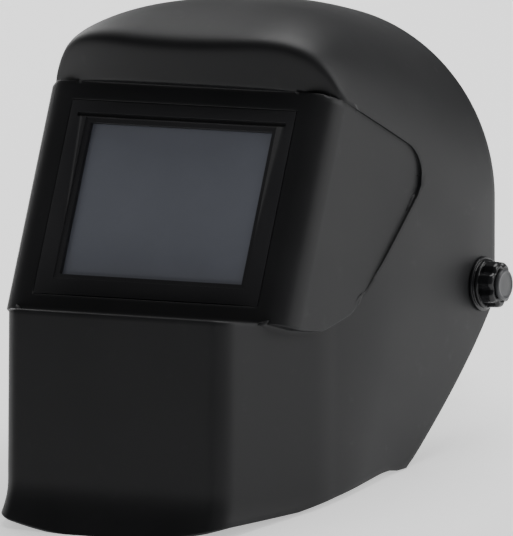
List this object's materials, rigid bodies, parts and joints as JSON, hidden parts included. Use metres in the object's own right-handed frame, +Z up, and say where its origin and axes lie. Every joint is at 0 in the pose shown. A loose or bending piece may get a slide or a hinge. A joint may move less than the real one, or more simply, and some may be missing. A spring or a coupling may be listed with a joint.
{
  "type": "welding helmet",
  "caption": "Passive welding helmet: one-piece moulded shell with brow, cheeks and chin, fixed framed lens, lobed tension knobs and a ratchet headgear that tilts inside it.",
  "frame": {"origin": "centre of the whole helmet's box, on the floor that the chin rim and the two rear corners stand on", "axes": "+Z up, -Y the way the lens faces, +X to the wearer's left; the pivot axis runs along X"},
  "size_m": [0.2662, 0.3957, 0.2841],
  "materials": {
    "shell_plastic": "fine matte grain",
    "holder_plastic": "satin",
    "clear_lens": "clear polished",
    "filter_glass": "dark polished",
    "seal_rubber": "matte",
    "knob_plastic": "gloss",
    "cap_plastic": "satin",
    "plated_steel": "plated",
    "friction_fibre": "matte",
    "headgear_plastic": "satin",
    "sweat_foam": "cloth over foam",
    "pinion_nylon": "satin"
  },
  "bodies": {
    "root": {"shell": "shell_plastic", "lens_holder": "holder_plastic", "cover_lens": "clear_lens", "lens_gasket": "seal_rubber", "filter_lens": "filter_glass", "inner_lens": "clear_lens", "lens_retainer": "holder_plastic", "retainer_clips": "plated_steel", "washer_left": "knob_plastic", "washer_right": "knob_plastic"},
    "headgear": {"side_arm_left": "headgear_plastic", "side_arm_right": "headgear_plastic", "front_band": "headgear_plastic", "sweatband": "sweat_foam", "crown_strap_front": "headgear_plastic", "crown_strap_rear": "headgear_plastic", "crown_studs": "headgear_plastic", "arm_rivets": "plated_steel", "pivot_stud_left": "plated_steel", "pivot_stud_right": "plated_steel", "friction_washer_left": "friction_fibre", "friction_washer_right": "friction_fibre"},
    "tension_left": {"tension_knob_left": "knob_plastic", "knob_cap_left": "cap_plastic"},
    "tension_right": {"tension_knob_right": "knob_plastic", "knob_cap_right": "cap_plastic"},
    "rear_cradle": {"rear_arm_left": "headgear_plastic", "rear_arm_right": "headgear_plastic", "ratchet_base": "headgear_plastic", "ratchet_cover": "headgear_plastic", "ratchet_screws": "plated_steel", "rear_pad": "sweat_foam"},
    "ratchet": {"ratchet_pinion": "pinion_nylon", "ratchet_knob": "knob_plastic"}
  },
  "joints": [
    {"name": "headgear_tilt", "type": "hinge", "parent": "root", "child": "headgear", "pos_m": [0, 0.06746, 0.09089], "axis": [1, 0, 0], "range_deg": [-33, 50]},
    {"name": "tension_left_turn", "type": "hinge", "parent": "headgear", "child": "tension_left", "pos_m": [0, 0.06746, 0.09089], "axis": [1, 0, 0], "range_deg": [-180, 180]},
    {"name": "tension_right_turn", "type": "hinge", "parent": "headgear", "child": "tension_right", "pos_m": [0, 0.06746, 0.09089], "axis": [1, 0, 0], "range_deg": [-180, 180]},
    {"name": "rear_band_slide", "type": "slide", "parent": "headgear", "child": "rear_cradle", "axis": [0, 1, 0], "range_m": [-0.007, 0.007]},
    {"name": "ratchet_turn", "type": "hinge", "parent": "rear_cradle", "child": "ratchet", "pos_m": [0, 0.17746, 0.09689], "axis": [0, 1, 0], "range_deg": [-80, 80]}
  ],
  "couplings": [
    {"joint": "rear_band_slide", "follows": "ratchet_turn", "m_per_rad": -0.005}
  ]
}
